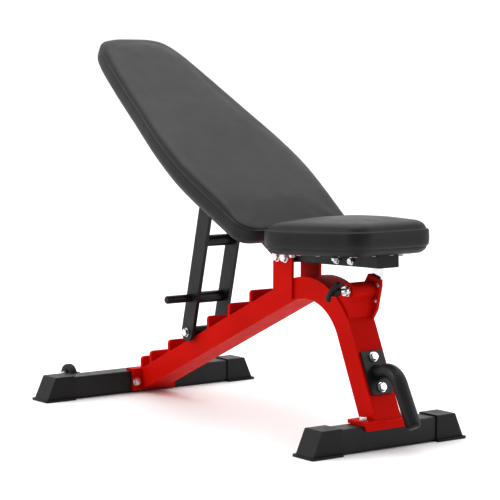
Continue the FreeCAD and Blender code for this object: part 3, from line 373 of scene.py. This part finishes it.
def spline(points, steps):
    """Centripetal Catmull-Rom curve through 2-D points."""
    ends = [points[0] * 2 - points[1]] + points + [points[-1] * 2 - points[-2]]
    made = []
    for i in range(1, len(ends) - 2):
        p0, p1, p2, p3 = ends[i - 1:i + 3]
        t1 = max((p1 - p0).length, 1e-6) ** 0.5
        t2 = t1 + max((p2 - p1).length, 1e-6) ** 0.5
        t3 = t2 + max((p3 - p2).length, 1e-6) ** 0.5
        for k in range(steps):
            t = t1 + (t2 - t1) * k / steps
            a1 = p0 * ((t1 - t) / t1) + p1 * (t / t1)
            a2 = p1 * ((t2 - t) / (t2 - t1)) + p2 * ((t - t1) / (t2 - t1))
            a3 = p2 * ((t3 - t) / (t3 - t2)) + p3 * ((t - t2) / (t3 - t2))
            b1 = a1 * ((t2 - t) / t2) + a2 * (t / t2)
            b2 = a2 * ((t3 - t) / (t3 - t1)) + a3 * ((t - t1) / (t3 - t1))
            made.append(b1 * ((t2 - t) / (t2 - t1)) + b2 * ((t - t1) / (t2 - t1)))
    made.append(points[-1])
    return made


def even(points, count):
    """count + 1 points at even spacing along a polyline."""
    lengths = [0.0]
    for a, b in zip(points, points[1:]):
        lengths.append(lengths[-1] + (b - a).length)
    made = []
    j = 0
    for i in range(count + 1):
        want = lengths[-1] * i / count
        while j < len(points) - 2 and lengths[j + 1] < want:
            j += 1
        span = lengths[j + 1] - lengths[j]
        made.append(points[j].lerp(points[j + 1], (want - lengths[j]) / span if span else 0.0))
    return made


FAIR_FROM = 11.0


class Outline:
    """Closed plan of a pad, mirrored about its centre line, with its outward normals."""

    def __init__(self, half, count):
        half = even(half, count)
        mirror = [Vector((p.x, -p.y)) for p in reversed(half[1:-1])]
        self.points = half + mirror
        n = len(self.points)
        self.normals = []
        for i in range(n):
            run = (self.points[(i + 1) % n] - self.points[i - 1]).normalized()
            self.normals.append(Vector((-run.y, run.x)))

    def inset(self, depth):
        return [p - m * depth for p, m in zip(self.points, self.normals)]


def fair(points, rounds):
    """Smooths a closed ring a little, so that a deep inset has no folds."""
    for _ in range(rounds):
        n = len(points)
        points = [points[i] * 0.5 + (points[i - 1] + points[(i + 1) % n]) * 0.25
                  for i in range(n)]
    return points


class Pad:
    """Rings of points that follow the outline, from the hem under the board to the crown."""

    def __init__(self, plane, outline, profile, top, crown, steps):
        self.plane = plane
        self.rings = []
        self.names = {}
        for name, depth, height in profile:
            ring = outline.inset(depth)
            if depth > FAIR_FROM:
                ring = fair(ring, 3)
            if name:
                self.names[name] = len(self.rings)
            self.rings.append([(p.x, p.y, height) for p in ring])
        edge = self.rings[-1]
        low, high = plane.spine
        for k in range(1, steps + 1):
            f = k / steps
            lift = top + crown * math.sin(f * math.pi / 2.0)
            base = edge[0][2]
            ring = []
            for u, v, _ in edge:
                mid = min(max(u, low), high)
                height = base + (lift - base) * min(1.0, 1.0 - (1.0 - f) ** 3)
                ring.append((u + (mid - u) * f, v * (1.0 - f), height))
            self.rings.append(ring)
        self.droop(*plane.droop)

    def droop(self, drop, near, far):
        """Lowers the padded face towards the end that meets the other pad."""
        if "seam_in" not in self.names:
            return
        start = self.names["seam_in"]
        seam = self.rings[start][0][2]
        full = self.rings[-1][0][2] - seam
        for row in range(start + 1, len(self.rings)):
            ring = []
            for u, v, height in self.rings[row]:
                t = min(1.0, max(0.0, (far - u) / (far - near)))
                t = t * t * (3.0 - 2.0 * t)
                ring.append((u, v, height - drop * t * (height - seam) / full))
            self.rings[row] = ring

    def mesh(self, name, close_start=False):
        bm = bmesh.new()
        grid = [[bm.verts.new(self.plane.at(*p)) for p in ring] for ring in self.rings]
        n = len(grid[0])
        for a, b in zip(grid, grid[1:]):
            for i in range(n):
                j = (i + 1) % n
                bm.faces.new((a[i], a[j], b[j], b[i]))
        if close_start:
            bm.faces.new(list(reversed(grid[0])))
        bmesh.ops.remove_doubles(bm, verts=grid[-1], dist=0.0002)
        return emit(bm, name)

    def ring_indices(self, name):
        """Vertex numbers of a named ring: rings are made one after another."""
        n = len(self.rings[0])
        start = self.names[name] * n
        return list(range(start, start + n))


# ---------------------------------------------------------------- sewing
CLOTH_FRAMES = 20
PRESSURE = 1.6
STIFFNESS = 30.0
SWELL_CAP = 2.5
SPREAD_ROUNDS = 10
GATHER = 0.30
STITCH_PITCH, STITCH_LENGTH, STITCH_RADIUS = 5.0, 3.6, 0.42
STITCH_SIDES = 6
STAPLE_PITCH = 42.0


def even_out(mesh, steps, held):
    """Spreads each point's movement over its neighbours, so that a tight cover stays smooth."""
    near = [[] for _ in mesh.vertices]
    for edge in mesh.edges:
        a, b = edge.vertices
        near[a].append(b)
        near[b].append(a)
    for _ in range(SPREAD_ROUNDS):
        steps = [step if i in held else
                 step * 0.4 + sum((steps[j] for j in near[i]), Vector()) * (0.6 / len(near[i]))
                 for i, step in enumerate(steps)]
    return steps


def inflate(obj, held):
    """Blows the cover up between its held seams with Cloth, and keeps the result."""
    group = obj.vertex_groups.new(name="held")
    group.add(held, 1.0, "REPLACE")
    cloth = obj.modifiers.new("cloth", "CLOTH")
    settings = cloth.settings
    settings.quality = 6
    settings.mass = 0.4
    settings.tension_stiffness = STIFFNESS
    settings.compression_stiffness = STIFFNESS
    settings.shear_stiffness = STIFFNESS / 3.0
    settings.bending_stiffness = 2.0
    settings.vertex_group_mass = group.name
    settings.use_pressure = True
    settings.uniform_pressure_force = PRESSURE
    settings.effector_weights.gravity = 0.0
    cloth.collision_settings.use_collision = False
    cloth.collision_settings.use_self_collision = False
    cloth.point_cache.frame_start = 1
    cloth.point_cache.frame_end = CLOTH_FRAMES
    rest = [v.co.copy() for v in obj.data.vertices]
    scene.frame_start = 1
    scene.frame_end = CLOTH_FRAMES
    for number in range(1, CLOTH_FRAMES + 1):
        scene.frame_set(number)
    graph = bpy.context.evaluated_depsgraph_get()
    puffed = [v.co.copy() for v in obj.evaluated_get(graph).data.vertices]
    obj.modifiers.remove(cloth)
    obj.vertex_groups.clear()
    scene.frame_set(1)
    limit = SWELL_CAP * MM
    steps = even_out(obj.data, [b - a for a, b in zip(rest, puffed)], set(held))
    for vertex, before, step in zip(obj.data.vertices, rest, steps):
        if step.length > 0:
            step *= limit * math.tanh(step.length / limit) / step.length
        vertex.co = before + step
    obj.data.update()


def pucker(obj, pad, reach):
    """Small gathers that run off the seams and fade into the panel."""
    n = len(pad.rings[0])
    rows = [pad.names[seam] for seam in ("seam_in", "low_in")]
    mesh = obj.data
    normals = [v.normal.copy() for v in mesh.vertices]
    for i, vertex in enumerate(mesh.vertices):
        row, column = divmod(i, n)
        if row >= len(pad.rings) - 1 or row in rows:
            continue
        here = Vector(pad.rings[row][column])
        gap = min((Vector(pad.rings[r][column]) - here).length for r in rows)
        if gap > reach:
            continue
        fade = math.sin(math.pi * min(1.0, gap / reach) ** 0.6)
        seed = vertex.co * (1000.0 / reach)
        wave = noise.noise(seed) + 0.5 * noise.noise(seed * 2.3)
        vertex.co += normals[i] * (wave * fade * GATHER * MM)
    mesh.update()


def stitches(name, obj, indices):
    """A row of short raised threads along a ring of the sewn mesh."""
    mesh = obj.data
    points = [mesh.vertices[i].co.copy() for i in indices]
    outs = [mesh.vertices[i].normal.copy() for i in indices]
    points.append(points[0])
    outs.append(outs[0])
    lengths = [0.0]
    for a, b in zip(points, points[1:]):
        lengths.append(lengths[-1] + (b - a).length)
    total = lengths[-1]
    count = int(total / (STITCH_PITCH * MM))

    def sample(at):
        at %= total
        low, high = 0, len(lengths) - 1
        while high - low > 1:
            mid = (low + high) // 2
            low, high = (mid, high) if lengths[mid] <= at else (low, mid)
        f = (at - lengths[low]) / max(lengths[low + 1] - lengths[low], 1e-9)
        return points[low].lerp(points[low + 1], f), outs[low].lerp(outs[low + 1], f).normalized()

    bm = bmesh.new()
    shape = [(-0.5, 0.45, -0.35), (-0.32, 0.95, 0.1), (0.0, 1.0, 0.35), (0.32, 0.95, 0.1),
             (0.5, 0.45, -0.35)]
    for k in range(count):
        centre = total * k / count
        loops = []
        for along, width, lift in shape:
            here, out = sample(centre + along * STITCH_LENGTH * MM)
            ahead, _ = sample(centre + along * STITCH_LENGTH * MM + 0.0005)
            run = (ahead - here).normalized()
            side = run.cross(out).normalized()
            base = here + out * (lift * STITCH_RADIUS * MM)
            loop = []
            for j in range(STITCH_SIDES):
                a = 2.0 * math.pi * j / STITCH_SIDES
                loop.append(bm.verts.new(base + (side * math.cos(a) + out * math.sin(a))
                                         * (STITCH_RADIUS * width * MM)))
            loops.append(loop)
        tube_faces(bm, loops)
    return emit(bm, name, material=THREAD)


def staples(name, pad, body):
    """Wire staples that hold the cover's hem under the board."""
    ring = pad.rings[pad.names["hem"]]
    points = [pad.plane.at(*p) for p in ring]
    bm = bmesh.new()
    travelled = 0.0
    down = -pad.plane.out
    for a, b in zip(points, points[1:] + points[:1]):
        travelled += (b - a).length
        if travelled < STAPLE_PITCH * MM:
            continue
        travelled = 0.0
        run = (b - a).normalized()
        side = run.cross(down).normalized()
        middle = (a + b) * 0.5
        path = [middle - run * 0.0052 - down * 0.0012, middle - run * 0.0050 + down * 0.0003,
                middle - run * 0.0044 + down * 0.0007, middle + run * 0.0044 + down * 0.0007,
                middle + run * 0.0050 + down * 0.0003, middle + run * 0.0052 - down * 0.0012]
        loops = []
        for i, p in enumerate(path):
            q = (path[min(i + 1, 5)] - path[max(i - 1, 0)]).normalized()
            up = q.cross(side).normalized()
            loops.append([bm.verts.new(p + side * x * 0.0006 + up * y * 0.0003)
                          for x, y in ((-1, -1), (1, -1), (1, 1), (-1, 1))])
        tube_faces(bm, loops)
    obj = emit(bm, name, smooth=False, material=MATERIALS["zinc_steel"])
    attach(obj, body)


def finish_pad(obj, body, node):
    obj.data.materials.append(MATERIALS["black_vinyl"])
    smooth = obj.modifiers.new("smooth", "SUBSURF")
    smooth.levels = 1
    smooth.render_levels = 1
    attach(obj, body)
    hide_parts(node)


def board(name, plane, outline, low, high, edge, body, node):
    """The board under a pad, wrapped in cloth: rounded lower rim and a flat middle."""
    profile = [(None, edge, high), (None, edge, low + 2.0), (None, edge + 0.8, low + 0.6),
               (None, edge + 2.5, low)]
    shape = Pad(plane, outline, profile, low, 0.0, 10)
    obj = shape.mesh(name, close_start=True)
    obj.data.materials.append(MATERIALS["plywood"])
    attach(obj, body)
    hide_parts(node)


def sew(name, plane, outline, profile, top, crown, steps, reach, body, node):
    """A sewn cushion: swollen cover, gathers, topstitching and staples."""
    pad = Pad(plane, outline, profile, top, crown, steps)
    obj = pad.mesh(name)
    held = []
    for key in pad.names:
        held += pad.ring_indices(key)
    inflate(obj, held)
    pucker(obj, pad, reach)
    row = stitches(name + "_topstitch", obj, pad.ring_indices("stitch"))
    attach(row, body)
    finish_pad(obj, body, node)
    staples(name + "_staples", pad, body)


BACK_LEAN = math.radians(31.48)
BACK_PLANE = Plane((0.171819, 0.0, 0.420), (-math.cos(BACK_LEAN), 0.0, math.sin(BACK_LEAN)),
                   (math.sin(BACK_LEAN), 0.0, math.cos(BACK_LEAN)), (120.0, 715.0),
                   (8.0, 33.0, 135.0))
BACK_HALF = [(33, 0), (33, 62), (33, 108), (35, 122), (42, 136), (60, 150), (95, 156), (165, 166),
             (237, 174), (290, 175.5), (382, 169), (447, 160), (509, 150.5), (567, 142.5),
             (636, 132), (702, 120.5), (738, 113), (770, 102), (795, 84), (808, 56), (812, 0)]
SEAT_RISE = math.radians(1.97)
SEAT_PLANE = Plane((0.146919, 0.0, 0.373), (math.cos(SEAT_RISE), 0.0, math.sin(SEAT_RISE)),
                   (-math.sin(SEAT_RISE), 0.0, math.cos(SEAT_RISE)), (128.0, 222.0),
                   (12.0, 51.0, 125.0))
SEAT_HALF = [(51, 0), (51, 55), (51.5, 92), (55, 120), (66, 145), (90, 158), (122, 159),
             (165, 147), (225, 128), (268, 113.5), (290, 106), (302, 98), (309, 87), (312.5, 72),
             (313, 50), (313, 0)]


def half_plan(pairs):
    return spline([Vector(p) for p in pairs], 12)


# ring name, inset, height
BACK_PROFILE = [
    ("hem_in", 28.0, -50.3), ("hem", 23.0, -50.6), (None, 18.0, -50.4), (None, 14.5, -48.8),
    (None, 10.5, -45.2), (None, 6.5, -41.8), ("low_in", 3.6, -39.2), ("low_v", 4.6, -36.4),
    ("low", 0.6, -35.0), (None, -0.8, -31.5), (None, -1.6, -27.0), (None, -1.8, -21.5),
    (None, -1.8, -16.0), (None, -1.6, -11.5), ("stitch", -1.3, -8.0), ("seam_out", -0.8, -4.0),
    ("seam_v", 2.0, -6.6), ("seam_in", 4.4, -3.2), (None, 5.8, 0.8), (None, 9.5, 4.2),
    (None, 15.5, 6.4), (None, 24.0, 7.4)]
SEAT_PROFILE = [
    ("hem_in", 30.0, 16.7), ("hem", 25.0, 16.4), (None, 19.0, 16.6), (None, 14.5, 18.0),
    (None, 9.5, 21.6), (None, 5.8, 25.4), ("low_in", 3.4, 28.4), ("low_v", 4.4, 31.2),
    ("low", 0.6, 32.6), (None, -1.0, 36.0), (None, -2.0, 41.0), (None, -2.2, 47.0),
    (None, -2.2, 53.0), (None, -2.0, 58.5), ("stitch", -1.6, 63.0), ("seam_out", -0.9, 67.6),
    ("seam_v", 2.2, 65.2), ("seam_in", 4.8, 68.8), (None, 6.2, 73.4), (None, 10.0, 78.4),
    (None, 16.0, 82.0), (None, 24.0, 84.6)]


def make_pads():
    back = Outline(half_plan(BACK_HALF), 128)
    sew("back_cushion", BACK_PLANE, back, BACK_PROFILE, 8.0, 1.0, 15, 26.0, "backrest", "back_pad")
    board("back_board_cloth", BACK_PLANE, back, -50.0, -38.5, 13.0, "backrest", "back_board")
    seat = Outline(half_plan(SEAT_HALF), 84)
    sew("seat_cushion", SEAT_PLANE, seat, SEAT_PROFILE, 86.0, 5.5, 14, 24.0, "seat", "seat_pad")
    board("seat_board_cloth", SEAT_PLANE, seat, 17.0, 28.5, 18.0, "seat", "seat_board")


# ---------------------------------------------------------------- studio
FLOOR_RADII = (0.6, 2.0, 6.0, 15.0, 60.0)
FLOOR_SIDES = 96


def make_floor():
    """A wide pale floor."""
    bm = bmesh.new()
    turns = [2 * math.pi * i / FLOOR_SIDES for i in range(FLOOR_SIDES)]
    rings = [[bm.verts.new((radius * math.cos(a), radius * math.sin(a), 0.0)) for a in turns]
             for radius in FLOOR_RADII]
    for a, b in zip(rings, rings[1:]):
        for i in range(FLOOR_SIDES):
            j = (i + 1) % FLOOR_SIDES
            bm.faces.new((a[i], a[j], b[j], b[i]))
    bm.faces.new(rings[0])
    emit(bm, "floor", material=floor_paint())


def softbox(name, place, size, watts):
    data = bpy.data.lights.new(name, "AREA")
    data.shape = "RECTANGLE"
    data.size, data.size_y = size
    data.energy = watts
    lamp = bpy.data.objects.new(name, data)
    scene.collection.objects.link(lamp)
    aim = Vector((0.0, 0.0, 0.4)) - Vector(place)
    lamp.location = place
    lamp.rotation_euler = aim.to_track_quat("-Z", "Y").to_euler()


SKY_FAR = 1.05
SKY_NEAR = 0.15
SKY_ABOVE = 0.9
VIEW_GAMMA = 0.8


def make_lights():
    """A sky bright behind the object and overhead and dim in front, with three soft boxes."""
    world = bpy.data.worlds.new("studio")
    world.use_nodes = True
    tree = world.node_tree
    sky = next(n for n in tree.nodes if n.type == "BACKGROUND")

    def ramp(value, *numbers):
        made = tree.nodes.new("ShaderNodeMapRange")
        for key, number in zip(("From Min", "From Max", "To Min", "To Max"), numbers):
            made.inputs[key].default_value = number
        tree.links.new(value, made.inputs["Value"])
        return made.outputs["Result"]

    coords = tree.nodes.new("ShaderNodeTexCoord")
    along = tree.nodes.new("ShaderNodeVectorMath")
    along.operation = "DOT_PRODUCT"
    along.inputs[1].default_value = STUDIO_FRONT
    tree.links.new(coords.outputs["Generated"], along.inputs[0])
    split = tree.nodes.new("ShaderNodeSeparateXYZ")
    tree.links.new(coords.outputs["Generated"], split.inputs[0])
    total = tree.nodes.new("ShaderNodeMath")
    total.operation = "ADD"
    tree.links.new(ramp(along.outputs["Value"], -0.35, 0.65, SKY_FAR, SKY_NEAR), total.inputs[0])
    tree.links.new(ramp(split.outputs["Z"], 0.12, 1.0, 0.0, SKY_ABOVE), total.inputs[1])
    sky.inputs["Color"].default_value = (1.0, 1.0, 1.0, 1.0)
    tree.links.new(total.outputs["Value"], sky.inputs["Strength"])
    scene.world = world
    softbox("key", (-1.6, -4.4, 2.4), (1.8, 2.4), 60.0)
    softbox("top", (-0.2, 0.0, 4.6), (3.2, 3.2), 60.0)
    softbox("fill", (3.4, 3.0, 1.6), (1.4, 2.0), 20.0)
    scene.view_settings.view_transform = "Standard"
    scene.view_settings.look = "None"
    scene.view_settings.gamma = VIEW_GAMMA


make_camera()
make_lights()
make_floor()
dress_frame()
make_pads()
